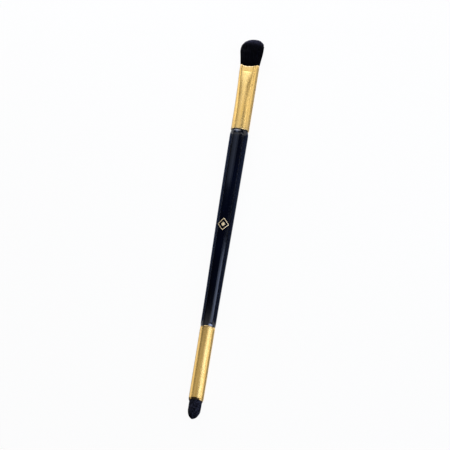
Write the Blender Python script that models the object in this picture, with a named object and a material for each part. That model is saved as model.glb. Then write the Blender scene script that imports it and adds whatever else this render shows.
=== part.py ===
"""Double-ended makeup brush, lying on its side.

A lacquered handle carries a gold ferrule at each end. The ferrule at the +X end is pressed flat
at its mouth and holds a dome of hair. The slimmer one at the -X end holds a foam bullet. The
brush lies on the plane z = 0 along X, with the pressed faces of the head ferrule level.
"""

from math import asin, atan2, copysign, cos, hypot, pi, radians, sin, sqrt

import bmesh
import bpy

MM = 0.001

# Lengths that show, from the foam end to the hair end
FOAM_EXPOSED = 8.1 * MM
TIP_FERRULE_LENGTH = 33.25 * MM
HANDLE_LENGTH = 89.0 * MM
HEAD_FERRULE_LENGTH = 30.0 * MM
HAIR_EXPOSED = 11.4 * MM

# Fits
GAP = 0.3 * MM  # between neighbouring pieces
FERRULE_WALL = 0.3 * MM
FERRULE_STEP = 0.06 * MM  # how far the handle stands proud of a ferrule

# Handle. A share of the length, from the head end, goes with a share of the drop in radius.
HANDLE_HEAD_RADIUS = 4.0 * MM
HANDLE_TIP_RADIUS = 3.3 * MM
TAPER_SHARES = ((0.0, 0.0), (0.2, 0.12), (0.4, 0.3), (0.6, 0.54), (0.8, 0.84), (0.9, 0.94), (1.0, 1.0))
TAPER_STEPS = 14
HEAD_SHOULDER_LENGTH = 2.6 * MM
HEAD_SHOULDER_DROP = 0.45 * MM
TIP_SHOULDER_LENGTH = 2.2 * MM
TIP_SHOULDER_DROP = 0.18 * MM
SHOULDER_STEPS = 4
HEAD_TENON_LENGTH = 9.0 * MM
TIP_TENON_LENGTH = 12.0 * MM
TENON_CHAMFER = 0.8 * MM
GROOVE_WIDTH = 2.0 * MM
GROOVE_DEPTH = 0.6 * MM
GROOVE_PLACE_SHARE = 0.5  # of the tenon's length

# Mouth of the head ferrule, where the tube is pressed flat
MOUTH_HALF_WIDTH = 4.16 * MM
MOUTH_HALF_DEPTH = 2.9 * MM
MOUTH_HALF_FLAT = 2.15 * MM
MOUTH_SHIFT = 0.23 * MM  # sideways, off the axis
LAND_LENGTH = 3.8 * MM  # of full pressing, from the crease to the rim at the sides
RIM_DIP = 1.4 * MM  # of the rim at the middle of each pressed face
ROUND_LENGTH = 6.2 * MM  # of the tube that stays round, from the handle
FLATTEN_POWER = 2.0
FLATTEN_STEPS = 7

# Hair
BACKING_THICKNESS = 1.4 * MM
HEAD_GLUE_LENGTH = 7.0 * MM
HEAD_GLUE_STEPS = 4
BELLY_HALF_WIDTH = 5.05 * MM
BELLY_HALF_DEPTH = 3.4 * MM
BELLY_SHIFT = 0.4 * MM  # sideways, off the axis
BELLY_HEIGHT_SHARE = 0.8  # of the shortest hair's exposed length
DOME_HEIGHT = 4.1 * MM
DOME_SKEW = 0.78 * MM  # the dome is this much higher at one side and lower at the other
HAIR_UNEVEN = 0.25 * MM
HAIR_COLUMNS = 24
HAIR_ROWS = 13
HAIR_FILL_SHARE = 0.7  # of its cell that a hair fills
HAIR_POINT_SHARE = 0.45  # of its own width that a hair keeps at its end
CROWN_SHARE = 0.98  # of the belly's spread that the hairs' ends keep

# Foam bullet
FOAM_RADIUS = 2.75 * MM
FOAM_ROOT_LENGTH = 5.0 * MM
FOAM_SWELL_LENGTH = 1.0 * MM  # over which it swells from the ferrule's bore
NOSE_LENGTH = 4.4 * MM
NOSE_POWER = 1.2
NOSE_STEPS = 7
NOSE_LEAN = 0.28 * MM  # sideways
TIP_GLUE_LENGTH = 4.0 * MM

SIDES = 32  # round a turned piece, in whole quarters
SIDE_ARC_SHARE = 0.625  # of a quarter of the pressed outline that its rounded side takes
SMOOTH_ANGLE = radians(35)

# Sizes that follow
TOTAL_LENGTH = (
    FOAM_EXPOSED + TIP_FERRULE_LENGTH + HANDLE_LENGTH + HEAD_FERRULE_LENGTH + HAIR_EXPOSED
)
HEAD_RADIUS = HANDLE_HEAD_RADIUS - FERRULE_STEP
TIP_RADIUS = HANDLE_TIP_RADIUS - FERRULE_STEP
INSET = FERRULE_WALL + GAP  # from a ferrule's outside to what it holds

# Places along X
FOAM_END = -TOTAL_LENGTH / 2
TIP_MOUTH = FOAM_END + FOAM_EXPOSED
TIP_JOINT = TIP_MOUTH + TIP_FERRULE_LENGTH
HEAD_JOINT = TIP_JOINT + HANDLE_LENGTH
HEAD_MOUTH = HEAD_JOINT + HEAD_FERRULE_LENGTH
CREASE = HEAD_MOUTH - LAND_LENGTH
FLATTEN_START = HEAD_JOINT + ROUND_LENGTH
SHORTEST_HAIR = HAIR_EXPOSED - DOME_HEIGHT - DOME_SKEW


def clear_scene():
    for item in list(bpy.data.objects):
        bpy.data.objects.remove(item)


def material(name, colour, roughness, metallic=0.0):
    made = bpy.data.materials.new(name)
    made.use_nodes = True
    shader = made.node_tree.nodes["Principled BSDF"]
    shader.inputs["Base Color"].default_value = (*colour, 1.0)
    shader.inputs["Roughness"].default_value = roughness
    shader.inputs["Metallic"].default_value = metallic
    return made


def add_object(name, mesh_data, finish, axis):
    """Closes the bmesh into a smooth-shaded object that hangs on the brush's axis."""
    mesh = bpy.data.meshes.new(name)
    mesh_data.to_mesh(mesh)
    mesh_data.free()
    mesh.shade_smooth()
    mesh.set_sharp_from_angle(angle=SMOOTH_ANGLE)
    mesh.materials.append(finish)
    piece = bpy.data.objects.new(name, mesh)
    bpy.context.scene.collection.objects.link(piece)
    piece.parent = axis
    return piece


def skin(rings, looped=False):
    """A closed bmesh over rings of points, each run from +Y towards +Z, that follow +X outside.

    A ring of one point is a pole. A looped skin joins its last ring to its first, as a tube does,
    and any other gets a flat cap on each end that isn't a pole.
    """
    made = bmesh.new()
    loops = [[made.verts.new(point) for point in ring] for ring in rings]
    pairs = list(zip(loops, loops[1:]))
    if looped:
        pairs.append((loops[-1], loops[0]))
    for first, second in pairs:
        for near in range(SIDES):
            far = (near + 1) % SIDES
            if len(first) == 1:
                made.faces.new((first[0], second[far], second[near]))
            elif len(second) == 1:
                made.faces.new((first[near], first[far], second[0]))
            else:
                made.faces.new((first[near], first[far], second[far], second[near]))
    if not looped and len(loops[0]) > 1:
        made.faces.new(reversed(loops[0]))
    if not looped and len(loops[-1]) > 1:
        made.faces.new(loops[-1])
    return made


def angles():
    return [2 * pi * step / SIDES for step in range(SIDES)]


def round_ring(place, radius, shift=0.0):
    return [(place, shift + radius * cos(turn), radius * sin(turn)) for turn in angles()]


def smooth_value(shares, at):
    """The value at a place in a table of (place, value), on a curve with no kinks."""
    index = max(i for i, (place, _) in enumerate(shares[:-1]) if place <= at)
    (left, low), (right, high) = shares[index : index + 2]
    before = shares[max(index - 1, 0)]
    after = shares[min(index + 2, len(shares) - 1)]
    slope_in = (high - before[1]) / (right - before[0])
    slope_out = (after[1] - low) / (after[0] - left)
    width = right - left
    run = (at - left) / width
    return (
        low * (1 + 2 * run) * (1 - run) ** 2
        + slope_in * width * run * (1 - run) ** 2
        + high * (3 - 2 * run) * run**2
        - slope_out * width * (1 - run) * run**2
    )


def tenon_profile(joint, outward, radius, length):
    """(place, radius) along a tenon, from its end to the shoulder. It points along outward."""
    end = joint + outward * length
    groove = joint + outward * length * GROOVE_PLACE_SHARE
    half = outward * GROOVE_WIDTH / 2
    return [
        (end, radius - TENON_CHAMFER / 2),
        (end - outward * TENON_CHAMFER, radius),
        (groove + half, radius),
        (groove + half, radius - GROOVE_DEPTH),
        (groove - half, radius - GROOVE_DEPTH),
        (groove - half, radius),
        (joint - outward * GAP, radius),
    ]


def shoulder_profile(joint, outward, radius, length, drop):
    """(place, radius) over the rounded edge at an end of the handle, short of where it ends."""
    face = joint - outward * GAP
    profile = []
    for step in range(SHOULDER_STEPS):
        share = step / SHOULDER_STEPS
        profile.append((face - outward * length * share, radius - drop * (1 - share) ** 2))
    return profile


def body_profile():
    """(place, radius) along the handle between its shoulders, from the tip end to the head end."""
    start = TIP_JOINT + GAP + TIP_SHOULDER_LENGTH
    end = HEAD_JOINT - GAP - HEAD_SHOULDER_LENGTH
    profile = []
    for step in range(TAPER_STEPS + 1):
        share = 1 - step / TAPER_STEPS
        drop = (HANDLE_HEAD_RADIUS - HANDLE_TIP_RADIUS) * smooth_value(TAPER_SHARES, share)
        profile.append((end + share * (start - end), HANDLE_HEAD_RADIUS - drop))
    return profile


def make_handle(axis):
    lacquer = material("black_navy_lacquer", (0.008, 0.010, 0.020), 0.25)
    tip_tenon = tenon_profile(TIP_JOINT, -1, TIP_RADIUS - INSET, TIP_TENON_LENGTH)
    tip_shoulder = shoulder_profile(
        TIP_JOINT, -1, HANDLE_TIP_RADIUS, TIP_SHOULDER_LENGTH, TIP_SHOULDER_DROP
    )
    head_shoulder = shoulder_profile(
        HEAD_JOINT, 1, HANDLE_HEAD_RADIUS, HEAD_SHOULDER_LENGTH, HEAD_SHOULDER_DROP
    )
    head_tenon = tenon_profile(HEAD_JOINT, 1, HEAD_RADIUS - INSET, HEAD_TENON_LENGTH)
    profile = tip_tenon + tip_shoulder + body_profile() + head_shoulder[::-1] + head_tenon[::-1]
    rings = [round_ring(place, radius) for place, radius in profile]
    return add_object("handle", skin(rings), lacquer, axis)


def make_tenon_glue(name, joint, outward, radius, length, finish, axis):
    """The ring of cured glue that fills a tenon's groove."""
    groove = joint + outward * length * GROOVE_PLACE_SHARE
    low = groove - GROOVE_WIDTH / 2 + GAP
    high = groove + GROOVE_WIDTH / 2 - GAP
    inner = radius - GROOVE_DEPTH + GAP
    corners = ((low, radius), (high, radius), (high, inner), (low, inner))
    rings = [round_ring(place, at) for place, at in corners]
    return add_object(name, skin(rings, looped=True), finish, axis)


def pressed_outline(turn, half_width, half_depth, half_flat):
    """(y, z) on an outline with flat faces across Z and rounded sides, at an angle from +Y."""
    quarter = asin(min(abs(sin(turn)), 1.0)) / (pi / 2)
    if quarter < SIDE_ARC_SHARE:
        bend = quarter / SIDE_ARC_SHARE * pi / 2
        across = half_flat + (half_width - half_flat) * cos(bend)
        up = half_depth * sin(bend)
    else:
        across = half_flat * (1 - quarter) / (1 - SIDE_ARC_SHARE)
        up = half_depth
    return copysign(across, cos(turn)), copysign(up, sin(turn))


def ferrule_outline(turn, pressed, inset):
    """(y, z) on the head ferrule, inset from its outside, where it is pressed from 0 to 1."""
    radius = HEAD_RADIUS - inset
    across, up = pressed_outline(
        turn, MOUTH_HALF_WIDTH - inset, MOUTH_HALF_DEPTH - inset, MOUTH_HALF_FLAT
    )
    return (
        (1 - pressed) * radius * cos(turn) + pressed * (across + MOUTH_SHIFT),
        (1 - pressed) * radius * sin(turn) + pressed * up,
    )


def ferrule_ring(place, inset):
    run = (place - FLATTEN_START) / (CREASE - FLATTEN_START)
    pressed = min(max(run, 0.0), 1.0) ** FLATTEN_POWER
    return [(place, *ferrule_outline(turn, pressed, inset)) for turn in angles()]


def rim_ring(inset):
    return [
        (HEAD_MOUTH - RIM_DIP * sin(turn) ** 2, *ferrule_outline(turn, 1.0, inset))
        for turn in angles()
    ]


def spaced(start, end, steps):
    return [start + (end - start) * step / steps for step in range(steps + 1)]


def make_head_ferrule(finish, axis):
    places = [HEAD_JOINT, *spaced(FLATTEN_START, CREASE, FLATTEN_STEPS)]
    outside = [ferrule_ring(place, 0.0) for place in places] + [rim_ring(0.0)]
    inside = [ferrule_ring(place, FERRULE_WALL) for place in places] + [rim_ring(FERRULE_WALL)]
    rings = outside + inside[::-1]
    return add_object("head_ferrule", skin(rings, looped=True), finish, axis)


def make_tip_ferrule(finish, axis):
    bore = TIP_RADIUS - FERRULE_WALL
    corners = (
        (TIP_MOUTH, TIP_RADIUS),
        (TIP_JOINT, TIP_RADIUS),
        (TIP_JOINT, bore),
        (TIP_MOUTH, bore),
    )
    rings = [round_ring(place, radius) for place, radius in corners]
    return add_object("tip_ferrule", skin(rings, looped=True), finish, axis)


def make_head_glue(finish, axis):
    """The plug of glue behind the hair's backing, which fills the flattening tube."""
    top = CREASE - GAP
    places = spaced(top - HEAD_GLUE_LENGTH, top, HEAD_GLUE_STEPS)
    rings = [ferrule_ring(place, INSET) for place in places]
    return add_object("head_root_glue", skin(rings), finish, axis)


def make_tip_glue(finish, axis):
    near = TIP_MOUTH + FOAM_ROOT_LENGTH + GAP
    rings = [round_ring(place, TIP_RADIUS - INSET) for place in (near, near + TIP_GLUE_LENGTH)]
    return add_object("tip_root_glue", skin(rings), finish, axis)


def make_foam_tip(axis):
    foam = material("black_foam", (0.02, 0.02, 0.025), 0.95)
    rings = [[(FOAM_END, NOSE_LEAN, 0.0)]]
    for step in range(1, NOSE_STEPS + 1):
        turn = pi / 2 * step / NOSE_STEPS
        place = FOAM_END + NOSE_LENGTH * (1 - cos(turn))
        radius = FOAM_RADIUS * sin(turn) ** NOSE_POWER
        rings.append(round_ring(place, radius, NOSE_LEAN * cos(turn)))
    root = TIP_RADIUS - INSET
    rings.append(round_ring(TIP_MOUTH - FOAM_SWELL_LENGTH, FOAM_RADIUS))
    rings.append(round_ring(TIP_MOUTH, root))
    rings.append(round_ring(TIP_MOUTH + FOAM_ROOT_LENGTH, root))
    return add_object("foam_tip", skin(rings), foam, axis)


def disc_point(column, row):
    """(reach, turn) on the unit disc of a point on the grid of hairs."""
    u = 2 * column / HAIR_COLUMNS - 1
    v = 2 * row / HAIR_ROWS - 1
    across = u * sqrt(1 - v**2 / 2)
    up = v * sqrt(1 - u**2 / 2)
    return hypot(across, up), atan2(up, across)


def hair_point(grid_point, place, spread):
    """A point among the hairs, which fill the ferrule at spread 0 and the belly at spread 1."""
    reach, turn = disc_point(*grid_point)
    root_across, root_up = ferrule_outline(turn, 1.0, INSET)
    root_across -= MOUTH_SHIFT
    across = root_across + spread * (BELLY_HALF_WIDTH * cos(turn) - root_across)
    up = root_up + spread * (BELLY_HALF_DEPTH * sin(turn) - root_up)
    shift = MOUTH_SHIFT + spread * (BELLY_SHIFT - MOUTH_SHIFT)
    return (place, shift + reach * across, reach * up)


def hair_end(column, row):
    """How far the end of the hair in a cell stands from the mouth, on the skewed dome."""
    reach, turn = disc_point(column + 0.5, row + 0.5)
    dome = sqrt(DOME_HEIGHT**2 - DOME_SKEW**2) * sqrt(1 - reach**2)
    uneven = (column * (sqrt(5) - 1) / 2 + row * (sqrt(2) - 1)) % 1
    edge = HAIR_EXPOSED - DOME_HEIGHT
    return edge + dome - DOME_SKEW * reach * cos(turn) - HAIR_UNEVEN * uneven


def hair_corners(column, row, fill, flipped):
    """Grid points of a three-sided hair in its cell, in order from +Y towards +Z."""
    half = fill / 2
    middle_column, middle_row = column + 0.5, row + 0.5
    if flipped:
        return (
            (middle_column, middle_row - half),
            (middle_column + half, middle_row + half),
            (middle_column - half, middle_row + half),
        )
    return (
        (middle_column - half, middle_row - half),
        (middle_column + half, middle_row - half),
        (middle_column, middle_row + half),
    )


def grow_hair(made, cell, column, row):
    """Adds one hair and the face of the backing around its root."""
    flipped = (column + row) % 2 == 1
    belly = BELLY_HEIGHT_SHARE * SHORTEST_HAIR
    levels = (
        (CREASE + BACKING_THICKNESS, 0.0, 1.0),
        (HEAD_MOUTH, 0.0, 1.0),
        (HEAD_MOUTH + belly, 1.0, 1.0),
        (HEAD_MOUTH + hair_end(column, row), CROWN_SHARE, HAIR_POINT_SHARE),
    )
    rings = []
    for place, spread, width_share in levels:
        corners = hair_corners(column, row, HAIR_FILL_SHARE * width_share, flipped)
        rings.append([made.verts.new(hair_point(corner, place, spread)) for corner in corners])
    for lower, upper in zip(rings, rings[1:]):
        for near in range(len(lower)):
            far = (near + 1) % len(lower)
            made.faces.new((lower[near], lower[far], upper[far], upper[near]))
    made.faces.new(rings[-1])
    root = rings[0]
    low_left, low_right, high_right, high_left = cell
    if flipped:
        made.faces.new((low_left, low_right, root[0]))
        made.faces.new((low_right, high_right, root[1], root[0]))
        made.faces.new((high_right, high_left, root[2], root[1]))
        made.faces.new((high_left, low_left, root[0], root[2]))
    else:
        made.faces.new((low_left, low_right, root[1], root[0]))
        made.faces.new((low_right, high_right, root[2], root[1]))
        made.faces.new((high_right, high_left, root[2]))
        made.faces.new((high_left, low_left, root[0], root[2]))


def backing_edge():
    """Grid points round the backing, from +Y towards +Z as seen from the hair's end."""
    bottom = [(column, 0) for column in range(HAIR_COLUMNS)]
    right = [(HAIR_COLUMNS, row) for row in range(HAIR_ROWS)]
    top = [(column, HAIR_ROWS) for column in range(HAIR_COLUMNS, 0, -1)]
    left = [(0, row) for row in range(HAIR_ROWS, 0, -1)]
    return bottom + right + top + left


def make_hair_head(axis):
    hair = material("black_hair", (0.012, 0.012, 0.016), 0.5)
    made = bmesh.new()
    face = CREASE + BACKING_THICKNESS
    grid = {
        (column, row): made.verts.new(hair_point((column, row), face, 0.0))
        for column in range(HAIR_COLUMNS + 1)
        for row in range(HAIR_ROWS + 1)
    }
    for column in range(HAIR_COLUMNS):
        for row in range(HAIR_ROWS):
            cell = [
                grid[column, row],
                grid[column + 1, row],
                grid[column + 1, row + 1],
                grid[column, row + 1],
            ]
            grow_hair(made, cell, column, row)
    edge = backing_edge()
    back = [made.verts.new(hair_point(point, CREASE, 0.0)) for point in edge]
    for near in range(len(edge)):
        far = (near + 1) % len(edge)
        made.faces.new((back[near], back[far], grid[edge[far]], grid[edge[near]]))
    made.faces.new(reversed(back))
    return add_object("hair_head", made, hair, axis)


def make_brush():
    clear_scene()
    axis = bpy.data.objects.new("brush_axis", None)
    bpy.context.scene.collection.objects.link(axis)
    axis.location = (0.0, -BELLY_SHIFT, max(HANDLE_HEAD_RADIUS, BELLY_HALF_DEPTH))
    gold = material("satin_gold", (0.80, 0.58, 0.28), 0.28, 1.0)
    glue = material("cured_glue", (0.75, 0.66, 0.45), 0.35)
    make_handle(axis)
    make_head_ferrule(gold, axis)
    make_tip_ferrule(gold, axis)
    make_hair_head(axis)
    make_foam_tip(axis)
    make_head_glue(glue, axis)
    make_tip_glue(glue, axis)
    make_tenon_glue(
        "head_tenon_glue", HEAD_JOINT, 1, HEAD_RADIUS - INSET, HEAD_TENON_LENGTH, glue, axis
    )
    make_tenon_glue(
        "tip_tenon_glue", TIP_JOINT, -1, TIP_RADIUS - INSET, TIP_TENON_LENGTH, glue, axis
    )


make_brush()
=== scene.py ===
"""A double-ended makeup brush, lying on a white floor in soft studio light."""

from math import asin, copysign, cos, degrees, exp, pi, radians, sin, sqrt, tan
import random

import bmesh
import bpy
from mathutils import Matrix, Vector, noise


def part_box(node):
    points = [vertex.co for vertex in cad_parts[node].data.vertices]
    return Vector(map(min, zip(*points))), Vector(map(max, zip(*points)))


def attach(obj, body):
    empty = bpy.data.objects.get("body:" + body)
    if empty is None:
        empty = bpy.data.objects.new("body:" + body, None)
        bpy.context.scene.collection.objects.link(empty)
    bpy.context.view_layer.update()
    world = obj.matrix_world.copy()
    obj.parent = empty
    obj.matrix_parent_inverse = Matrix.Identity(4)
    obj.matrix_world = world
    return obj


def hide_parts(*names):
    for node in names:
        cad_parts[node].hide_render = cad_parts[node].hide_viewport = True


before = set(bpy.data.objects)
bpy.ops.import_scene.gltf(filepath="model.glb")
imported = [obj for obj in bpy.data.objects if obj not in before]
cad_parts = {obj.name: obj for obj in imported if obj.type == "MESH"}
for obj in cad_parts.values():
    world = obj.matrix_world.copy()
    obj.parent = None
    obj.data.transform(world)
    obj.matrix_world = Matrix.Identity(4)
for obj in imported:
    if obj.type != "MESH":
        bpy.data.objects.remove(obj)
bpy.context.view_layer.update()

MM = 0.001

# View: how far the hair end leans out of the picture towards the camera, how far the brush is
# turned about its length and how far its length slants in the picture, in degrees
LEAN = 16.0
TURN_ABOUT_LENGTH = 15.0
PICTURE_ROLL = 9.27
PICTURE_PIXELS = 450
PIXEL = 0.43 * MM
MIDDLE_PIXEL = (223.83, 229.09)  # where the middle of the handle's axis lies in the picture
CAMERA_DISTANCE = 8.0
CAMERA_CLIP = 40.0
SENSOR_WIDTH = 36.0

# Stage
STAGE_RADIUS = 12.0
BACKDROP_HEIGHT = 3.6
STAGE_SIDES = 64
PAPER = 0.8
PAPER_GLOW_SHARE = 0.955  # of what the camera and reflections see, the rest is lit paper
MATT_ROUGHNESS = 0.9
MATT_SPECULAR = 0.1
WORLD_STRENGTH = 0.02
WHITE = (1.0, 1.0, 1.0)
COOL = (0.84, 1.0, 1.45)

# Lamps: banks of soft boxes around the brush. Each bank has its distance and its span along the
# brush in metres, its colour, the angle of its first lamp and the level of each lamp. Angles are
# in degrees about the brush's length, from the camera's side to the picture's right
LAMP_STEP = 18.0
NEAR, MIDDLE, FAR = 0.15, 0.4, 1.0
LAMP_BANKS = {
    "tip_end": (NEAR, (-0.05, -0.025), WHITE, -81.0, (0.4, 0.45, 0.6, 0.6, 0.6)),
    "tip_joint": (NEAR, (-0.025, 0.0), WHITE, -63.0, (0.4, 0.55, 0.55, 0.5, 1.0, 0.5)),
    "handle_low": (NEAR, (0.0, 0.03), COOL, 45.0, (0.6, 1.7)),
    "handle_high": (NEAR, (0.06, 0.087), COOL, -63.0, (0.3, 0.45, 0.6, 0.3)),
    "head_joint": (
        NEAR,
        (0.087, 0.105),
        WHITE,
        -99.0,
        (0.95, 0.6, 0.85, 1.15, 1.15, 1.25, 0.15, 0.15, 1.9),
    ),
    "head_face": (NEAR, (0.105, 0.125), WHITE, -63.0, (0.35, 0.5, 0.9, 0.6, 0.9, 2.1, 0.4)),
    "head_slope": (NEAR, (0.125, 0.16), COOL, -45.0, (1.0, 1.0)),
    "head_glint": (NEAR, (0.16, 0.24), COOL, -99.0, (3.2, 2.2, 2.7, 3.4, 1.0, 0.7)),
    "back": (MIDDLE, (0.38, 0.8), WHITE, -99.0, (2.5, 2.2, 3.7, 4.5, 5.1, 3.3, 1.6)),
    "key": (MIDDLE, (0.03, 0.09), COOL, 27.0, (1.3, 1.9)),
    "key_mid": (FAR, (-0.06, 0.03), COOL, 9.0, (4.5, 13.5, 13.0, 6.5)),
    "key_low": (FAR, (-0.14, -0.06), COOL, 9.0, (3.2, 3.2, 0.8)),
}

# Cards that only reflections see: painted shade, standing in for the darker floor beside the brush
# and beyond the foam as reflections show it. Sides are -1 for the picture's right and 1 for its
# left
CARD_HEIGHT = 0.2 * MM
CARD_NEAR = 1.0 * MM  # from the brush's widest line to a card's edge
CARD_SLANT = tan(radians(LEAN))  # how far along the brush a reflection runs for each length away
HANDLE_CARD_WIDTH = 60.0 * MM
HANDLE_CARD_UPRIGHT = 24.0 * MM
HANDLE_CARD_START = 2.0 * MM  # from the tip ferrule
HANDLE_CARD_SHADE_GREYS = {-1: 0.17, 1: 0.22}
FERRULE_CARD_WIDTHS = {-1: 13.0 * MM, 1: 5.0 * MM}
FERRULE_CARD_SHADE_GREY = 0.55
END_CARD_START = 2.5 * MM  # from the foam's mouth, under the ferrule
END_CARD_PLACE = 32.0 * MM  # beyond the foam's end
END_CARD_HEIGHT = 280.0 * MM
END_CARD_SIDES = (-70.0 * MM, 190.0 * MM)  # its right and left ends, across the brush
END_CARD_SHADE_GREY = 0.02

# Colours
LACQUER_DEEP = (0.0001, 0.0004, 0.0025)
LACQUER_PALE = (0.0004, 0.0018, 0.008)
LACQUER_WORN = (0.01, 0.01, 0.013)
LACQUER_WORN_SHARE = 0.5
LACQUER_DUST = (0.05, 0.05, 0.055)
LACQUER_DUST_SHARE = 0.5
GOLD_DEEP = (0.87, 0.55, 0.15)
GOLD_PALE = (0.97, 0.65, 0.23)
GOLD_WORN = (0.99, 0.76, 0.42)
GOLD_WORN_SHARE = 0.6
GOLD_SPECK = (0.6, 0.36, 0.12)
GOLD_SPECK_SHARE = 0.12
FOIL_DEEP = (0.8, 0.6, 0.3)
FOIL_PALE = (0.95, 0.76, 0.42)
HAIR_DEEP = (0.0002, 0.0002, 0.0007)
HAIR_PALE = (0.003, 0.003, 0.0065)
# Painted highlight: the paler colour of the hair near the top of the dome, for the light that
# catches it there
HAIR_CROWN_HIGHLIGHT = (0.105, 0.1, 0.16)
HAIR_SHEEN = (0.8, 0.78, 1.0)
FOAM_DEEP = (0.001, 0.001, 0.002)
FOAM_PALE = (0.042, 0.042, 0.06)
# Painted shade: the colour of the pores' pits, darker for the shade that falls in them
FOAM_PORE_SHADE = (0.003, 0.003, 0.005)
FOAM_SHEEN = (0.85, 0.83, 1.0)
GLUE_DEEP = (0.52, 0.36, 0.14)
GLUE_PALE = (0.78, 0.66, 0.42)
GLUE_BUBBLE = (0.9, 0.85, 0.7)

# Gloss
LACQUER_ROUGHNESS = (0.09, 0.12)
LACQUER_IOR = 1.5
RUBBED_ROUGHNESS = 0.04  # added where the lacquer is rubbed
WORN_ROUGHNESS = 0.1  # added at the lacquer's worn edges
GOLD_ROUGHNESS = 0.21
GOLD_LINE_ROUGHNESS = 0.08  # added by the drawn lines
GOLD_CLOUD_ROUGHNESS = 0.05  # added by its clouds
GOLD_POLISH = 0.05  # taken off at the edges that are rubbed bright
FOIL_ROUGHNESS = 0.45
FOIL_METALLIC = 0.5

# Ferrules
WALL = 0.3 * MM
GAP = 0.3 * MM
MOUTH_HALF_WIDTH = 4.16 * MM
MOUTH_HALF_DEPTH = 2.9 * MM
MOUTH_HALF_FLAT = 2.15 * MM
MOUTH_SHIFT = 0.23 * MM
LAND_LENGTH = 3.8 * MM
RIM_DIP = 1.4 * MM
RIM_DIP_POWER = 3.0
ROUND_LENGTH = 6.2 * MM
FLATTEN_POWER = 2.0
SIDE_ARC_SHARE = 0.625
CREASE_DEPTH = 0.03 * MM
CREASE_WIDTH = 0.3 * MM
CREASE_FADE_SHARES = (0.8, 0.9)  # of the way up to a pressed face, where the crease fades in
LIP_RADIUS = 0.16 * MM
EDGE_RADIUS = 0.2 * MM
BEVEL_LENGTH = 0.8 * MM  # of the rolled-in lip at the foam's mouth
BEVEL_DROP = 0.24 * MM
STEP_DROP = 0.04 * MM
WEAR_REACH = 0.3 * MM  # from an edge, over which its wear fades
JOINT_WEAR_FADE_SHARE = 0.5  # of the wear, over the head ferrule's rounded edge at the joint
FERRULE_SHARP_ANGLE = 50.0

# Handle
HANDLE_TIP_RADIUS = 3.3 * MM
HEAD_SHOULDER_LENGTH = 2.6 * MM
HEAD_SHOULDER_DROP = 0.45 * MM
TIP_SHOULDER_LENGTH = 2.2 * MM
TIP_SHOULDER_DROP = 0.18 * MM
TAPER_SHARES = (
    (0.0, 0.0),
    (0.2, 0.12),
    (0.4, 0.3),
    (0.6, 0.54),
    (0.8, 0.84),
    (0.9, 0.94),
    (1.0, 1.0),
)
TENON_CHAMFER = 0.8 * MM
GROOVE_WIDTH = 2.0 * MM
GROOVE_DEPTH = 0.6 * MM
GROOVE_PLACE_SHARE = 0.5
HANDLE_SHARP_ANGLE = 35.0

# Hair
BACKING_THICKNESS = 1.4 * MM
HAIR_EXPOSED = 11.3 * MM
DOME_HEIGHT = 4.1 * MM
DOME_SKEW = 0.62 * MM
DOME_POWER = 2.35
BELLY_HEIGHT = 5.8 * MM
BELLY_HALF_WIDTH = 5.05 * MM
BELLY_HALF_DEPTH = 3.4 * MM
BELLY_SHIFT = 0.4 * MM
SPREAD_SHARES = ((0.0, 0.0), (0.04, 0.14), (0.12, 0.26), (0.4, 0.5), (0.7, 0.78), (1.0, 0.97))
HAIR_SEED = 7  # of each hair's own draws and of the clumps that pull on their ends
HAIR_COUNT = 9000
HAIR_SIDES = 3
HAIR_RADIUS = 0.06 * MM
HAIR_BELLY_RADIUS = 0.054 * MM
HAIR_TIP_RADIUS = 0.022 * MM
HAIR_UNEVEN = 0.3 * MM
HAIR_UNEVEN_SHARES = (-0.6, 0.4)  # of it, between which a hair ends above the dome
HAIR_LEAN_SHARES = (-0.015, 0.01)  # of the way out from the middle
STRAY_COUNT = 90
STRAY_LENGTH = 0.45 * MM
STRAY_LENGTH_SHARES = (0.3, 1.0)
STRAY_PLACE_SHARES = (0.2, 1.0)  # of the area from the middle
STRAY_LEAN_SHARES = (0.0, 0.04)
CROWN_HIGHLIGHT_DEPTH = 2.8 * MM  # of the hair painted paler below the top of the dome, as a painted highlight
CLUMP_SIZE = 0.9 * MM
CLUMP_PULL = 0.12 * MM
CORE_SHARE = 0.92
CORE_DROP = 0.5 * MM

# Foam
FOAM_RADIUS = 2.75 * MM
FOAM_SWELL_LENGTH = 1.0 * MM
NOSE_LENGTH = 4.4 * MM
NOSE_POWER = 1.2
NOSE_LEAN = 0.28 * MM
PORE_SIZE = 0.34 * MM
PORE_DEPTH = 0.06 * MM
PORE_REACH_SHARE = 0.45  # of a pore's size, from its middle
PORE_WALL_SHARE = 0.3  # of a pore's size, over which its wall rises
LUMP_SIZE = 1.3 * MM
LUMP_HEIGHT = 0.06 * MM
LUMP_FRACTAL = (1.0, 2.0, 3)  # how fast its octaves weaken, the step between them, their number

# Generic foil mark on the handle
MARK_PLACE = 1.2 * MM
MARK_ANGLE = -10.0
MARK_HALF_LENGTH = 2.8 * MM
MARK_HALF_WIDTH = 2.6 * MM
MARK_STROKE = 0.42 * MM
MARK_HEART_SHARE = 0.36
MARK_PROUD = 0.02 * MM
MARK_SINK = 0.02 * MM
MARK_SHARP_ANGLE = 30.0

handle_low, handle_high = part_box("handle")
tip_low, tip_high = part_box("tip_ferrule")
head_low, head_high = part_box("head_ferrule")
foam_low, foam_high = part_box("foam_tip")
AXIS_Y = (handle_low.y + handle_high.y) / 2
AXIS_Z = (handle_low.z + handle_high.z) / 2
HANDLE_RADIUS = (handle_high.z - handle_low.z) / 2
TIP_RADIUS = (tip_high.z - tip_low.z) / 2
HEAD_RADIUS = (head_high.z - head_low.z) / 2
FOAM_END = foam_low.x
TIP_MOUTH = tip_low.x
TIP_JOINT = tip_high.x
HEAD_JOINT = head_low.x
HEAD_MOUTH = head_high.x
CREASE = HEAD_MOUTH - LAND_LENGTH
FLATTEN_START = HEAD_JOINT + ROUND_LENGTH


# View and stage


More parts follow.
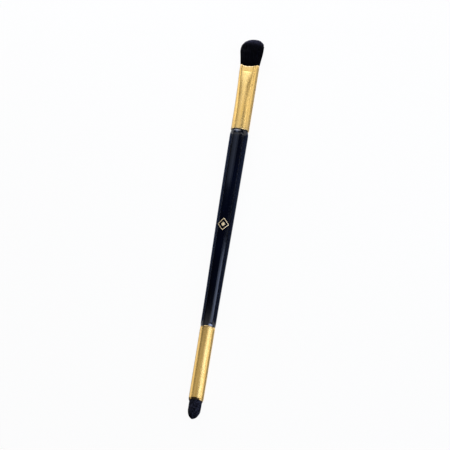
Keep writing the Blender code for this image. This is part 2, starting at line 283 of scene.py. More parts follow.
def direction(angle):
    """The direction at an angle about the brush's length, from the camera's side to the right."""
    turn = radians(TURN_ABOUT_LENGTH)
    face = Vector((0.0, -sin(turn), cos(turn)))
    across = Vector((0.0, -cos(turn), -sin(turn)))
    return cos(radians(angle)) * face + sin(radians(angle)) * across


def picture_axes():
    """The picture's up, right and towards-the-camera directions, as they lie on the brush."""
    lean, roll = radians(LEAN), radians(PICTURE_ROLL)
    face, across = direction(0.0), direction(90.0)
    length = Vector((1.0, 0.0, 0.0))
    along = cos(lean) * length + sin(lean) * face
    back = cos(lean) * face - sin(lean) * length
    up = cos(roll) * along - sin(roll) * across
    right = cos(roll) * across + sin(roll) * along
    return up, right, back


def link_object(thing):
    bpy.context.scene.collection.objects.link(thing)
    return thing


def stage_object(name, mesh):
    thing = link_object(bpy.data.objects.new(name, mesh))
    return thing


def make_camera():
    up, right, back = picture_axes()
    half = PICTURE_PIXELS / 2
    aim = Vector((0.0, AXIS_Y, AXIS_Z))
    aim -= (MIDDLE_PIXEL[0] - half) * PIXEL * right
    aim += (MIDDLE_PIXEL[1] - half) * PIXEL * up
    camera = link_object(bpy.data.objects.new("camera", bpy.data.cameras.new("camera")))
    turned = Matrix((right, up, back)).transposed().to_4x4()
    camera.matrix_world = Matrix.Translation(aim + CAMERA_DISTANCE * back) @ turned
    camera.data.sensor_width = SENSOR_WIDTH
    camera.data.lens = SENSOR_WIDTH * CAMERA_DISTANCE / (PICTURE_PIXELS * PIXEL)
    camera.data.clip_end = CAMERA_CLIP
    bpy.context.scene.camera = camera
    bpy.context.scene.view_settings.view_transform = "Standard"


def soft_box(name, angle, distance, span, level, colour):
    """A soft box at an angle about the brush's length, over a span of it, that faces the brush."""
    low, high = span
    lamp_data = bpy.data.lights.new(name, "AREA")
    lamp_data.shape = "RECTANGLE"
    lamp_data.size = high - low
    lamp_data.size_y = 2 * distance * tan(radians(LAMP_STEP / 2))
    lamp_data.energy = level * pi * lamp_data.size * lamp_data.size_y
    lamp_data.color = colour
    lamp = link_object(bpy.data.objects.new(name, lamp_data))
    back = direction(angle)
    length = Vector((1.0, 0.0, 0.0))
    middle = Vector(((low + high) / 2, AXIS_Y, AXIS_Z)) + distance * back
    turned = Matrix((length, back.cross(length), back)).transposed().to_4x4()
    lamp.matrix_world = Matrix.Translation(middle) @ turned
    lamp.visible_camera = False


def make_lights():
    for name, (distance, span, colour, first, levels) in LAMP_BANKS.items():
        for number, level in enumerate(levels):
            angle = first + number * LAMP_STEP
            soft_box("%s_%d" % (name, number), angle, distance, span, level, colour)


def make_shade_card(name, strips, material):
    """A card that only reflections see, a sheet of painted shade, through pairs of points with a
    strip between each two.
    """
    made = bmesh.new()
    edges = [[made.verts.new(point) for point in pair] for pair in strips]
    for (first, second), (third, fourth) in zip(edges, edges[1:]):
        made.faces.new((first, second, fourth, third))
    mesh = bpy.data.meshes.new(name)
    made.to_mesh(mesh)
    made.free()
    mesh.materials.append(material)
    card = stage_object(name, mesh)
    card.visible_camera = False
    card.visible_diffuse = False
    card.visible_shadow = False


def side_strips(span, side, width, upright):
    """The points of a card on the floor beside the brush, that turns up at its far edge."""
    near = AXIS_Y + side * (HEAD_RADIUS + CARD_NEAR)
    far = near + side * width
    return [
        [(place + shift, y, z) for place in span]
        for shift, y, z in (
            (0.0, near, CARD_HEIGHT),
            (CARD_SLANT * width, far, CARD_HEIGHT),
            (CARD_SLANT * width, far, CARD_HEIGHT + upright),
        )
    ]


def make_ground():
    """The floor and the wall around it, of the same white paper."""
    paper = white_paper()
    disc = bmesh.new()
    bmesh.ops.create_circle(disc, cap_ends=True, segments=STAGE_SIDES, radius=STAGE_RADIUS)
    ring = bmesh.new()
    bmesh.ops.create_cone(
        ring,
        segments=STAGE_SIDES,
        radius1=STAGE_RADIUS,
        radius2=STAGE_RADIUS,
        depth=BACKDROP_HEIGHT,
    )
    bmesh.ops.translate(ring, verts=ring.verts, vec=(0.0, 0.0, BACKDROP_HEIGHT / 2))
    for name, shape in (("floor", disc), ("backdrop", ring)):
        mesh = bpy.data.meshes.new(name)
        shape.to_mesh(mesh)
        shape.free()
        mesh.materials.append(paper)
        stage_object(name, mesh)


def make_side_shade_cards():
    """Grey cards beside the ferrules and dark ones beside the handle, as painted shade in their
    reflections.
    """
    ferrule_grey = shade_card_finish("ferrule_card", FERRULE_CARD_SHADE_GREY)
    handle = (TIP_JOINT + HANDLE_CARD_START, HEAD_JOINT)
    for side, width in FERRULE_CARD_WIDTHS.items():
        for name, span in (("tip", (FOAM_END, TIP_JOINT)), ("head", (HEAD_JOINT, HEAD_MOUTH))):
            strips = side_strips(span, side, width, CARD_HEIGHT)
            make_shade_card("%s_card_%d" % (name, side), strips, ferrule_grey)
        handle_grey = shade_card_finish("handle_card_%d" % side, HANDLE_CARD_SHADE_GREYS[side], COOL)
        strips = side_strips(handle, side, HANDLE_CARD_WIDTH, HANDLE_CARD_UPRIGHT)
        make_shade_card("handle_card_%d" % side, strips, handle_grey)


def make_end_shade_card():
    """A black card behind the foam, with a tongue that narrows towards the ferrule's mouth, as
    painted shade in the reflections near the foam.
    """
    end = FOAM_END - END_CARD_PLACE
    start = TIP_MOUTH + END_CARD_START
    right, left = END_CARD_SIDES
    strips = [[(start, AXIS_Y, CARD_HEIGHT), (start, left, CARD_HEIGHT)]]
    strips += [[(end, y, z) for y in (right, left)] for z in (CARD_HEIGHT, END_CARD_HEIGHT)]
    make_shade_card("end_card", strips, shade_card_finish("end_card", END_CARD_SHADE_GREY))


def make_world():
    world = bpy.data.worlds.new("world")
    world.use_nodes = True
    world.node_tree.nodes["Background"].inputs["Color"].default_value = (*WHITE, 1.0)
    world.node_tree.nodes["Background"].inputs["Strength"].default_value = WORLD_STRENGTH
    bpy.context.scene.world = world


# Materials


class Finish:
    """A new material: its shader, and short ways to add the nodes that feed it."""

    def __init__(self, name):
        self.material = bpy.data.materials.new(name)
        self.material.use_nodes = True
        self.tree = self.material.node_tree
        self.shader = self.tree.nodes["Principled BSDF"]
        self.place = self.add("TexCoord").outputs["Object"]

    def add(self, kind, inputs=(), **settings):
        node = self.tree.nodes.new("ShaderNode" + kind)
        for name, value in settings.items():
            setattr(node, name, value)
        for name, value in dict(inputs).items():
            self.feed(value, node.inputs[name])
        return node

    def feed(self, value, socket):
        if isinstance(value, bpy.types.NodeSocket):
            self.tree.links.new(value, socket)
        else:
            socket.default_value = value

    def set(self, **values):
        """Feeds the shader's sockets, named as in base_color for Base Color."""
        names = {socket.name.lower().replace(" ", "_"): socket for socket in self.shader.inputs}
        for name, value in values.items():
            self.feed(value, names[name])

    def noise(self, grain, stretch=1.0, detail=2.0):
        """Noise of a grain in metres, drawn out along the brush by a stretch."""
        scale = (1 / (grain * stretch), 1 / grain, 1 / grain)
        place = self.add("Mapping", {"Vector": self.place, "Scale": scale}).outputs["Vector"]
        settings = {"Vector": place, "Scale": 1.0, "Detail": detail}
        return self.add("TexNoise", settings).outputs["Fac"]

    def cells(self, grain):
        """How far a point is from the nearest of many scattered points, for pores and specks."""
        settings = {"Vector": self.place, "Scale": 1 / grain}
        return self.add("TexVoronoi", settings).outputs["Distance"]

    def attribute(self, name):
        return self.add("Attribute", attribute_name=name).outputs["Fac"]

    def range(self, value, low, high, to_low=0.0, to_high=1.0):
        """The value, carried from one range to another and held at its ends."""
        settings = {
            "Value": value,
            "From Min": low,
            "From Max": high,
            "To Min": to_low,
            "To Max": to_high,
        }
        return self.add("MapRange", settings).outputs["Result"]

    def part(self, value, most):
        """The value, from 0 to 1, carried to between 0 and the most."""
        return self.range(value, 0.0, 1.0, 0.0, most)

    def math(self, operation, first, second):
        node = self.add("Math", operation=operation)
        self.feed(first, node.inputs[0])
        self.feed(second, node.inputs[1])
        return node.outputs[0]

    def mix(self, share, first, second):
        """A colour between two, each a colour or a socket."""
        node = self.add("Mix", data_type="RGBA")
        self.feed(share, node.inputs[0])
        for socket, colour in ((node.inputs[6], first), (node.inputs[7], second)):
            self.feed((*colour, 1.0) if isinstance(colour, tuple) else colour, socket)
        return node.outputs[2]

    def bump(self, *layers):
        """Feeds the shader's normal with layers of (height from 0 to 1, its depth in metres)."""
        normal = None
        for height, depth in layers:
            node = self.add("Bump", {"Height": height, "Distance": depth, "Strength": 1.0})
            if normal:
                self.feed(normal, node.inputs["Normal"])
            normal = node.outputs["Normal"]
        self.set(normal=normal)


def matt(finish, grey, tint):
    """Makes a finish matt, in a grey with a tint."""
    colour = [grey * share for share in tint]
    finish.set(
        base_color=(*colour, 1.0),
        roughness=MATT_ROUGHNESS,
        specular_ior_level=MATT_SPECULAR,
    )


def white_paper():
    """A pale matt surface that shows as the white background, with a little of its shadows."""
    paper = Finish("white_paper")
    matt(paper, PAPER, WHITE)
    path = paper.add("LightPath").outputs
    seen = paper.math("MAXIMUM", path["Is Camera Ray"], path["Is Glossy Ray"])
    seen = paper.math("MAXIMUM", seen, path["Is Transmission Ray"])
    glow = paper.add("Emission", {"Color": (*WHITE, 1.0)})
    shown = paper.add("MixShader")
    paper.feed(paper.math("MULTIPLY", seen, PAPER_GLOW_SHARE), shown.inputs[0])
    paper.feed(paper.shader.outputs[0], shown.inputs[1])
    paper.feed(glow.outputs[0], shown.inputs[2])
    paper.feed(shown.outputs[0], paper.tree.nodes["Material Output"].inputs["Surface"])
    return paper.material


def shade_card_finish(name, grey, tint=WHITE):
    """A matt card, in the grey of the painted shade it shows in reflections."""
    card = Finish(name)
    matt(card, grey, tint)
    return card.material


def lacquer():
    """Black-navy lacquer over turned wood: a little orange peel, fine rubbing marks and dust."""
    paint = Finish("black_navy_lacquer")
    cloud = paint.range(paint.noise(9.0 * MM, stretch=3.0), 0.35, 0.65)
    body = paint.mix(cloud, LACQUER_DEEP, LACQUER_PALE)
    worn = paint.attribute("wear")
    body = paint.mix(paint.part(worn, LACQUER_WORN_SHARE), body, LACQUER_WORN)
    dust = paint.range(paint.cells(1.7 * MM), 0.02, 0.035, LACQUER_DUST_SHARE, 0.0)
    body = paint.mix(dust, body, LACQUER_DUST)
    rubbed = paint.range(paint.noise(0.12 * MM, stretch=40.0, detail=3.0), 0.45, 0.75)
    gloss = paint.range(paint.noise(5.0 * MM, stretch=2.0), 0.3, 0.7, *LACQUER_ROUGHNESS)
    gloss = paint.math("ADD", gloss, paint.part(rubbed, RUBBED_ROUGHNESS))
    gloss = paint.math("ADD", gloss, paint.part(worn, WORN_ROUGHNESS))
    paint.set(base_color=body, roughness=gloss, ior=LACQUER_IOR)
    paint.bump(
        (paint.noise(0.7 * MM, stretch=1.3), 0.0022 * MM),
        (rubbed, 0.0006 * MM),
        (paint.noise(7.0 * MM, stretch=2.0), 0.01 * MM),
    )
    return paint.material


def gold():
    """Satin gold plate on a drawn tube: fine lines along it, soft waves, edges rubbed bright."""
    return gold_finish("satin_gold", GOLD_DEEP, GOLD_PALE, GOLD_ROUGHNESS)


def foil():
    """Hot-stamped gold foil, a little duller than the plate."""
    return gold_finish("gold_foil", FOIL_DEEP, FOIL_PALE, FOIL_ROUGHNESS, FOIL_METALLIC)


def gold_finish(name, deep, pale, roughness, metallic=1.0):
    plate = Finish(name)
    lines = plate.noise(0.1 * MM, stretch=60.0, detail=4.0)
    streaks = plate.noise(0.5 * MM, stretch=30.0)
    cloud = plate.noise(4.0 * MM, stretch=2.5)
    tone = plate.math(
        "ADD", plate.range(streaks, 0.3, 0.7, 0.0, 0.6), plate.range(cloud, 0.3, 0.7, 0.0, 0.4)
    )
    colour = plate.mix(tone, deep, pale)
    worn = plate.attribute("wear")
    colour = plate.mix(plate.part(worn, GOLD_WORN_SHARE), colour, GOLD_WORN)
    specks = plate.range(plate.cells(1.3 * MM), 0.02, 0.05, GOLD_SPECK_SHARE, 0.0)
    colour = plate.mix(specks, colour, GOLD_SPECK)
    gloss = plate.range(lines, 0.35, 0.7, roughness, roughness + GOLD_LINE_ROUGHNESS)
    gloss = plate.math("ADD", gloss, plate.range(cloud, 0.3, 0.7, 0.0, GOLD_CLOUD_ROUGHNESS))
    gloss = plate.math("SUBTRACT", gloss, plate.part(worn, GOLD_POLISH))
    plate.set(base_color=colour, metallic=metallic, roughness=gloss)
    plate.bump(
        (lines, 0.0002 * MM),
        (streaks, 0.0003 * MM),
        (plate.noise(3.0 * MM, stretch=6.0), 0.001 * MM),
    )
    return plate.material


def hair_finish():
    """Black hair with a cool sheen, each hair a little different, and painted paler near the crown
    as a highlight where the light falls on the top of the dome.
    """
    hair = Finish("black_hair")
    shade = hair.attribute("shade")
    streak = hair.range(hair.noise(0.5 * MM, stretch=8.0), 0.35, 0.7)
    tone = hair.math("MULTIPLY", shade, streak)
    colour = hair.mix(tone, HAIR_DEEP, HAIR_PALE)
    # Painted highlight: hairs near the top of the dome are mixed towards a paler colour, for the
    # light that catches them
    crown = hair.math("MULTIPLY", hair.attribute("crown"), shade)
    colour = hair.mix(crown, colour, HAIR_CROWN_HIGHLIGHT)
    hair.set(
        base_color=colour,
        roughness=hair.range(streak, 0.0, 1.0, 0.42, 0.6),
        specular_ior_level=0.03,
        sheen_weight=0.01,
        sheen_roughness=0.4,
        sheen_tint=(*HAIR_SHEEN, 1.0),
    )
    hair.bump((hair.noise(0.05 * MM, stretch=10.0), 0.004 * MM))
    return hair.material


def foam_finish():
    """Matt black foam: pores painted darker as shade in their pits, between paler, slightly violet
    walls.
    """
    foam = Finish("black_foam")
    pore = foam.attribute("pore")
    patch = foam.range(foam.noise(0.7 * MM, detail=3.0), 0.36, 0.7)
    walls = foam.mix(patch, FOAM_DEEP, FOAM_PALE)
    # Painted shade: the pores' pits are painted darker
    colour = foam.mix(foam.range(pore, 0.1, 0.8), walls, FOAM_PORE_SHADE)
    foam.set(
        base_color=colour,
        roughness=foam.range(patch, 0.0, 1.0, 0.98, 0.86),
        specular_ior_level=0.06,
        sheen_weight=0.02,
        sheen_roughness=0.5,
        sheen_tint=(*FOAM_SHEEN, 1.0),
    )
    foam.bump((foam.cells(0.09 * MM), 0.03 * MM), (foam.noise(0.2 * MM), 0.04 * MM))
    return foam.material


def glue_finish():
    """Cured amber glue: cloudy, a little glossy, with small bubbles and a wavy skin."""
    glue = Finish("cured_amber_glue")
    cloud = glue.range(glue.noise(1.6 * MM, detail=4.0), 0.3, 0.7)
    colour = glue.mix(cloud, GLUE_DEEP, GLUE_PALE)
    bubbles = glue.range(glue.cells(0.6 * MM), 0.1, 0.2, 1.0, 0.0)
    colour = glue.mix(bubbles, colour, GLUE_BUBBLE)
    glue.set(
        base_color=colour,
        roughness=glue.range(cloud, 0.0, 1.0, 0.22, 0.4),
        subsurface_weight=0.2,
        subsurface_scale=0.5 * MM,
    )
    glue.bump((bubbles, 0.02 * MM), (glue.noise(0.8 * MM), 0.05 * MM))
    return glue.material


def finish_glue():
    """The glue inside the ferrules keeps its solids, and gets its material."""
    finish = glue_finish()
    for name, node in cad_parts.items():
        if name.endswith("_glue"):
            for slot in node.material_slots:
                slot.material = finish


# Forms


def add_piece(name, made, material, node, sharp_angle=180.0):
    """A piece from a mesh being made, smooth but for edges that turn by more than an angle."""
    mesh = bpy.data.meshes.new(name)
    made.to_mesh(mesh)
    made.free()
    mesh.shade_smooth()
    mesh.set_sharp_from_angle(angle=radians(sharp_angle))
    mesh.materials.append(material)
    piece = link_object(bpy.data.objects.new(name, mesh))
    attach(piece, "root")
    if node:
        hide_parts(node)
    return piece


def add_rings(made, rings, looped=False):
    """Adds a closed surface over rings of points, and gives its vertices, ring by ring.

    Each ring runs from +Y towards +Z, and on the outside the rings follow each other along +X. A
    ring of one point is a pole. A looped surface joins its last ring to its first. Any other gets
    a flat cap on each end that isn't a pole.
    """
    loops = [[made.verts.new(point) for point in ring] for ring in rings]
    pairs = list(zip(loops, loops[1:]))
    if looped:
        pairs.append((loops[-1], loops[0]))
    for first, second in pairs:
        count = max(len(first), len(second))
        for near in range(count):
            far = (near + 1) % count
            if len(first) == 1:
                made.faces.new((first[0], second[far], second[near]))
            elif len(second) == 1:
                made.faces.new((first[near], first[far], second[0]))
            else:
                made.faces.new((first[near], first[far], second[far], second[near]))
    if not looped and len(loops[0]) > 1:
        made.faces.new(reversed(loops[0]))
    if not looped and len(loops[-1]) > 1:
        made.faces.new(loops[-1])
    return loops


def skin(rings, looped=False, wear=None):
    """A new mesh over rings of points, with one value of wear for each ring."""
    made = bmesh.new()
    worn = made.verts.layers.float.new("wear")
    loops = add_rings(made, rings, looped)
    for loop, value in zip(loops, wear or [0.0] * len(loops)):
        for vertex in loop:
            vertex[worn] = value
    return made


def held(value):
    """The value, held between 0 and 1."""
    return min(max(value, 0.0), 1.0)


def angles(count):
    return [2 * pi * step / count for step in range(count)]


def spaced(start, end, steps):
    """Values at even steps from the start to the end, with both."""
    return [start + (end - start) * step / steps for step in range(steps + 1)]


def round_ring(place, radius, count, shift=0.0):
    return [
        (place, AXIS_Y + shift + radius * cos(turn), AXIS_Z + radius * sin(turn))
        for turn in angles(count)
    ]


def smooth_value(shares, at):
    """The value at a place in a table of (place, value), on a curve with no kinks."""
    index = max(i for i, (place, _) in enumerate(shares[:-1]) if place <= at)
    (left, low), (right, high) = shares[index : index + 2]
    before = shares[max(index - 1, 0)]
    after = shares[min(index + 2, len(shares) - 1)]
    slope_in = (high - before[1]) / (right - before[0])
    slope_out = (after[1] - low) / (after[0] - left)
    width = right - left
    run = (at - left) / width
    return (
        low * (1 + 2 * run) * (1 - run) ** 2
        + slope_in * width * run * (1 - run) ** 2
        + high * (3 - 2 * run) * run**2
        - slope_out * width * (1 - run) * run**2
    )


def wear_near(place, *edges):
    """Wear from 0 to 1, by how near a place along the brush is to one of its edges."""
    return max(exp(-abs(place - edge) / WEAR_REACH) for edge in edges)


# Handle


def tenon(joint, outward, radius, end):
    """(place, radius) along a tenon and its glue groove, from its end to the joint."""
    groove = joint + GROOVE_PLACE_SHARE * (end - joint)
    half = outward * GROOVE_WIDTH / 2
    return [
        (end, radius - TENON_CHAMFER / 2),
        (end - outward * TENON_CHAMFER, radius),
        (groove + half, radius),
        (groove + half, radius - GROOVE_DEPTH),
        (groove - half, radius - GROOVE_DEPTH),
        (groove - half, radius),
        (joint, radius),
    ]


def shoulder(face, outward, radius, length, drop):
    """(place, radius) from an end face of the handle over its rounded edge, short of the body."""
    steps = 12
    return [
        (face - outward * length * share, radius - drop * (1 - share) ** 2)
        for share in spaced(0.0, 1.0, steps)[:-1]
    ]


def body_radius(place):
    """The handle's radius at a place along it, between its shoulders."""
    start = TIP_JOINT + GAP + TIP_SHOULDER_LENGTH
    end = HEAD_JOINT - GAP - HEAD_SHOULDER_LENGTH
    taper_share = smooth_value(TAPER_SHARES, held((end - place) / (end - start)))
    return HANDLE_RADIUS - (HANDLE_RADIUS - HANDLE_TIP_RADIUS) * taper_share


def make_handle():
    sides, steps = 128, 100
    tip_body = TIP_JOINT + TIP_SHOULDER_LENGTH
    head_body = HEAD_JOINT - HEAD_SHOULDER_LENGTH
    profile = tenon(TIP_JOINT, -1, TIP_RADIUS - WALL - GAP, handle_low.x)
    profile += shoulder(TIP_JOINT, -1, HANDLE_TIP_RADIUS, TIP_SHOULDER_LENGTH, TIP_SHOULDER_DROP)
    profile += [(place, body_radius(place)) for place in spaced(tip_body, head_body, steps)]
    profile += shoulder(
        HEAD_JOINT, 1, HANDLE_RADIUS, HEAD_SHOULDER_LENGTH, HEAD_SHOULDER_DROP
    )[::-1]
    profile += tenon(HEAD_JOINT, 1, HEAD_RADIUS - WALL - GAP, handle_high.x)[::-1]
    rings = [round_ring(place, radius, sides) for place, radius in profile]
    wear = [wear_near(place, TIP_JOINT, HEAD_JOINT) for place, _ in profile]
    made = skin(rings, wear=wear)
    add_piece(
        "handle_lacquered", made, lacquer(), "handle", HANDLE_SHARP_ANGLE
    )


def mark_point(along, across, proud):
    """A point on the handle's face towards the picture, by lengths along and across it."""
    radius = body_radius(MARK_PLACE + along)
    out = direction(MARK_ANGLE + degrees(across / radius))
    return Vector((MARK_PLACE + along, AXIS_Y, AXIS_Z)) + (radius + proud) * out


def lozenge_ring(share, proud):
    """Points round a lozenge on the handle, at a share of its full size, or its middle alone."""
    steps = 12
    if share == 0.0:
        return [mark_point(0.0, 0.0, proud)]
    corners = [(1, 0), (0, 1), (-1, 0), (0, -1), (1, 0)]
    ring = []
    for (along, across), (next_along, next_across) in zip(corners, corners[1:]):
        for run in spaced(0.0, 1.0, steps)[:-1]:
            ring.append(
                mark_point(
                    share * MARK_HALF_LENGTH * (along + run * (next_along - along)),
                    share * MARK_HALF_WIDTH * (across + run * (next_across - across)),
                    proud,
                )
            )
    return ring


def make_mark():
    """A lozenge outline with a small solid lozenge inside, as thin foil on the handle."""
    inner_share = 1 - MARK_STROKE / MARK_HALF_WIDTH
    outline = (
        (1.0, MARK_PROUD),
        ((1.0 + inner_share) / 2, MARK_PROUD),
        (inner_share, MARK_PROUD),
        (inner_share, -MARK_SINK),
        (1.0, -MARK_SINK),
    )
    heart = (
        (0.0, -MARK_SINK),
        (MARK_HEART_SHARE, -MARK_SINK),
        (MARK_HEART_SHARE, MARK_PROUD),
        (MARK_HEART_SHARE / 2, MARK_PROUD),
        (0.0, MARK_PROUD),
    )
    made = skin([lozenge_ring(*at) for at in outline], looped=True)
    add_rings(made, [lozenge_ring(*at) for at in heart])
    bmesh.ops.recalc_face_normals(made, faces=made.faces)
    add_piece("handle_foil_mark", made, foil(), None, MARK_SHARP_ANGLE)


# Ferrules


def pressed_outline(turn, half_width, half_depth, half_flat):
    """(y, z) on an outline with flat faces across Z and rounded sides, at an angle from +Y."""
    quarter = asin(min(abs(sin(turn)), 1.0)) / (pi / 2)
    if quarter < SIDE_ARC_SHARE:
        bend = quarter / SIDE_ARC_SHARE * pi / 2
        across = half_flat + (half_width - half_flat) * cos(bend)
        up = half_depth * sin(bend)
    else:
        across = half_flat * (1 - quarter) / (1 - SIDE_ARC_SHARE)
        up = half_depth
    return copysign(across, cos(turn)), copysign(up, sin(turn))


def ferrule_outline(turn, pressed, inset):
    """(y, z) on the head ferrule, inset from its outside, where it is pressed from 0 to 1."""
    radius = HEAD_RADIUS - inset
    across, up = pressed_outline(
        turn, MOUTH_HALF_WIDTH - inset, MOUTH_HALF_DEPTH - inset, MOUTH_HALF_FLAT
    )
    return (
        (1 - pressed) * radius * cos(turn) + pressed * (across + MOUTH_SHIFT),
        (1 - pressed) * radius * sin(turn) + pressed * up,
    )


def pressed_at(place):
    """How far the head ferrule is pressed at a place along it, from 0 to 1."""
    return held((place - FLATTEN_START) / (CREASE - FLATTEN_START)) ** FLATTEN_POWER


def rim_place(turn):
    """Where the head ferrule's rim is, which dips on the pressed faces."""
    return HEAD_MOUTH - RIM_DIP * (1 - abs(cos(turn)) ** RIM_DIP_POWER)


def crease_inset(place, turn):
    """The depth of the fine groove that the press leaves across the flat faces."""
    low, high = CREASE_FADE_SHARES
    flat = held((abs(sin(turn)) - low) / (high - low))
    return CREASE_DEPTH * flat * exp(-(((place - CREASE) / CREASE_WIDTH) ** 2))


def head_ring(share, inset, sides, back=0.0):
    """A ring at a share of the way from the joint to the rim, less a step back from the rim."""
    ring = []
    for turn in angles(sides):
        place = HEAD_JOINT + share * (rim_place(turn) - HEAD_JOINT) - back
        y, z = ferrule_outline(turn, pressed_at(place), inset + crease_inset(place, turn))
        ring.append((place, AXIS_Y + y, AXIS_Z + z))
    return ring


def make_head_ferrule(material):
    sides, rows, inner_rows, bends = 192, 150, 50, 5
    length = HEAD_MOUTH - HEAD_JOINT
    rings, wear = [], []
    for turn in spaced(0.0, pi / 2, bends)[:-1]:
        inset = EDGE_RADIUS * (1 - sin(turn))
        rings.append(head_ring(0.0, inset, sides, -EDGE_RADIUS * (1 - cos(turn))))
        wear.append(1.0 - JOINT_WEAR_FADE_SHARE * turn / (pi / 2))
    for share in spaced(EDGE_RADIUS / length, 1.0, rows):
        rings.append(head_ring(share, 0.0, sides, LIP_RADIUS * share))
        wear.append(wear_near(share * length, 0.0, length))
    for turn in spaced(0.0, pi / 2, bends)[1:]:
        inset = LIP_RADIUS * (1 - cos(turn))
        rings.append(head_ring(1.0, inset, sides, LIP_RADIUS * (1 - sin(turn))))
        wear.append(1.0)
    for share in spaced(1.0, 0.0, inner_rows):
        rings.append(head_ring(share, WALL, sides, GAP / 2 * share))
        wear.append(0.0)
    made = skin(rings, looped=True, wear=wear)
    add_piece(
        "head_ferrule_gold", made, material, "head_ferrule", FERRULE_SHARP_ANGLE
    )


def make_tip_ferrule(material):
    sides, rows, inner_rows, bends = 128, 60, 15, 6
    bore = TIP_RADIUS - WALL
    step = TIP_MOUTH + BEVEL_LENGTH
    profile = [
        (TIP_MOUTH + BEVEL_DROP / 2, bore),
        (TIP_MOUTH, (bore + TIP_RADIUS - BEVEL_DROP) / 2),
        (TIP_MOUTH + STEP_DROP, TIP_RADIUS - BEVEL_DROP),
        (step - STEP_DROP, TIP_RADIUS - STEP_DROP),
        (step, TIP_RADIUS - 2 * STEP_DROP),
        (step + 2 * STEP_DROP, TIP_RADIUS - STEP_DROP / 4),
        (step + 4 * STEP_DROP, TIP_RADIUS),
    ]
    straight = spaced(step + WALL, TIP_JOINT - EDGE_RADIUS, rows)
    profile += [(place, TIP_RADIUS) for place in straight]
    for turn in spaced(0.0, pi / 2, bends)[1:]:
        place = TIP_JOINT - EDGE_RADIUS * (1 - sin(turn))
        profile.append((place, TIP_RADIUS - EDGE_RADIUS * (1 - cos(turn))))
    profile += [(place, bore) for place in spaced(TIP_JOINT, TIP_MOUTH + WALL, inner_rows)]
    rings = [round_ring(place, radius, sides) for place, radius in profile]
    wear = [
        wear_near(place, TIP_MOUTH, TIP_JOINT) if radius > bore else 0.0
        for place, radius in profile
    ]
    made = skin(rings, looped=True, wear=wear)
    add_piece(
        "tip_ferrule_gold", made, material, "tip_ferrule", FERRULE_SHARP_ANGLE
    )


# Foam


def make_foam():
    sides, nose_rows, body_rows = 240, 60, 70
    rings = [[(FOAM_END, AXIS_Y + NOSE_LEAN, AXIS_Z)]]
    for turn in spaced(0.0, pi / 2, nose_rows)[1:]:
        place = FOAM_END + NOSE_LENGTH * (1 - cos(turn))
        radius = FOAM_RADIUS * sin(turn) ** NOSE_POWER
        rings.append(round_ring(place, radius, sides, NOSE_LEAN * cos(turn)))
    root = TIP_RADIUS - WALL - GAP / 2
    neck = TIP_MOUTH - FOAM_SWELL_LENGTH
    for place in spaced(FOAM_END + NOSE_LENGTH, neck, body_rows)[1:]:
        rings.append(round_ring(place, FOAM_RADIUS, sides))
    rings.append(round_ring(TIP_MOUTH, root, sides))
    rings.append(round_ring(foam_high.x, root, sides))
    made = skin(rings)
    pores = made.verts.layers.float.new("pore")
    made.normal_update()
    moves = {}
    for vertex in made.verts:
        if vertex.co.x > TIP_MOUTH - GAP:
            continue
        near, far = noise.voronoi(vertex.co / PORE_SIZE)[0][:2]
        pore = max(0.0, 1.0 - near / PORE_REACH_SHARE)
        pore *= min((far - near) / PORE_WALL_SHARE, 1.0)
        lump = noise.fractal(vertex.co / LUMP_SIZE, *LUMP_FRACTAL)
        # The pore's depth both dents the mesh and marks where the foam is painted darker, as shade
        # in its pits
        vertex[pores] = pore
        moves[vertex] = vertex.normal * (LUMP_HEIGHT * lump - PORE_DEPTH * pore)
    for vertex, move in moves.items():
        vertex.co += move
    piece = add_piece("foam_smudger", made, foam_finish(), "foam_tip")


# Hair


def hair_spot(reach, turn, place):
    """A point among the hairs, at a share of the way out from their middle and a place along."""
    spread = smooth_value(SPREAD_SHARES, held((place - rim_place(turn)) / BELLY_HEIGHT))
    root_y, root_z = ferrule_outline(turn, 1.0, WALL + HAIR_RADIUS)
    root_y -= MOUTH_SHIFT
    y = root_y + spread * (BELLY_HALF_WIDTH * cos(turn) - root_y)
    z = root_z + spread * (BELLY_HALF_DEPTH * sin(turn) - root_z)
    shift = MOUTH_SHIFT + spread * (BELLY_SHIFT - MOUTH_SHIFT)
    return Vector((place, AXIS_Y + shift + reach * y, AXIS_Z + reach * z))


def dome_place(reach, turn, lower=0.0):
    """Where along the brush the skewed dome of the hairs' ends is, or a step lower."""
    height = sqrt(DOME_HEIGHT**2 - DOME_SKEW**2)
    dome = height * max(1 - reach**DOME_POWER, 0.0) ** (1 / DOME_POWER)
    edge = HEAD_MOUTH + HAIR_EXPOSED - DOME_HEIGHT
    return edge + dome - DOME_SKEW * reach * cos(turn) - lower


def crown_highlight_at(place):
    """How near a place along the brush is to the top of the dome, from 0 to 1, for the painted
    highlight there.
    """
    return max(1 - (HEAD_MOUTH + HAIR_EXPOSED - place) / CROWN_HIGHLIGHT_DEPTH, 0.0)


def add_hair_core(made):
    """The closed mass of hair behind the outer hairs, down to their glued roots."""
    sides, side_rows, dome_rows = 96, 24, 16
    rings = []
    for share in spaced(0.0, 1.0, side_rows):
        ring = []
        for turn in angles(sides):
            top = dome_place(1.0, turn, CORE_DROP)
            ring.append(hair_spot(CORE_SHARE, turn, CREASE + share * (top - CREASE)))
        rings.append(ring)
    for rise in spaced(0.0, pi / 2, dome_rows)[1:-1]:
        reach = cos(rise)
        rings.append(
            [
                hair_spot(CORE_SHARE * reach, turn, dome_place(reach, turn, CORE_DROP))
                for turn in angles(sides)
            ]
        )
    rings.append([hair_spot(0.0, 0.0, dome_place(0.0, 0.0, CORE_DROP))])
    add_rings(made, rings)


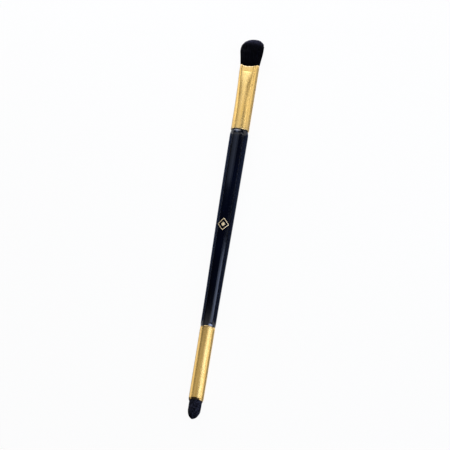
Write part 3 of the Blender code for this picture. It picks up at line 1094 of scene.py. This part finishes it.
def add_hair(made, layers, chance, reach, turn, extra, lean):
    """One thin hair from the glued roots to the dome, with a clump's pull on its end."""
    end = dome_place(reach, turn) + extra
    rim = rim_place(turn)
    belly = min(rim + BELLY_HEIGHT, end - HAIR_UNEVEN)
    places = (CREASE + BACKING_THICKNESS, (rim + belly) / 2, belly, end)
    widths = (HAIR_RADIUS, HAIR_RADIUS, HAIR_BELLY_RADIUS, HAIR_TIP_RADIUS)
    shade = chance.random()
    spin = chance.uniform(0, 2 * pi)
    pull = CLUMP_PULL * noise.noise_vector(hair_spot(reach, turn, end) / CLUMP_SIZE)
    rings = []
    for index, (place, width) in enumerate(zip(places, widths)):
        loose = (index / (len(places) - 1)) ** 2
        middle = hair_spot(reach + lean * loose, turn, place)
        middle += Vector((0.0, pull.y, pull.z)) * loose
        rings.append(
            [
                middle + width * Vector((0.0, cos(side + spin), sin(side + spin)))
                for side in angles(HAIR_SIDES)
            ]
        )
    for place, loop in zip(places, add_rings(made, rings)):
        for vertex in loop:
            vertex[layers["shade"]] = shade
            vertex[layers["crown"]] = crown_highlight_at(place)


def make_hair():
    chance = random.Random(HAIR_SEED)
    noise.seed_set(HAIR_SEED)
    made = bmesh.new()
    layers = {name: made.verts.layers.float.new(name) for name in ("shade", "crown")}
    add_hair_core(made)
    golden_turn = pi * (3 - sqrt(5))
    for index in range(HAIR_COUNT):
        reach = sqrt((index + 0.5) / HAIR_COUNT)
        turn = index * golden_turn % (2 * pi)
        extra = HAIR_UNEVEN * chance.uniform(*HAIR_UNEVEN_SHARES)
        lean = chance.uniform(*HAIR_LEAN_SHARES)
        add_hair(made, layers, chance, reach, turn, extra, lean)
    for _ in range(STRAY_COUNT):
        reach = sqrt(chance.uniform(*STRAY_PLACE_SHARES))
        turn = chance.uniform(0, 2 * pi)
        extra = STRAY_LENGTH * chance.uniform(*STRAY_LENGTH_SHARES) * (1 - reach / 2)
        lean = chance.uniform(*STRAY_LEAN_SHARES)
        add_hair(made, layers, chance, reach, turn, extra, lean)
    add_piece("hair_dome", made, hair_finish(), "hair_head")


make_camera()
make_ground()
make_side_shade_cards()
make_end_shade_card()
make_world()
make_lights()
make_handle()
make_mark()
ferrule_gold = gold()
make_head_ferrule(ferrule_gold)
make_tip_ferrule(ferrule_gold)
make_foam()
make_hair()
finish_glue()
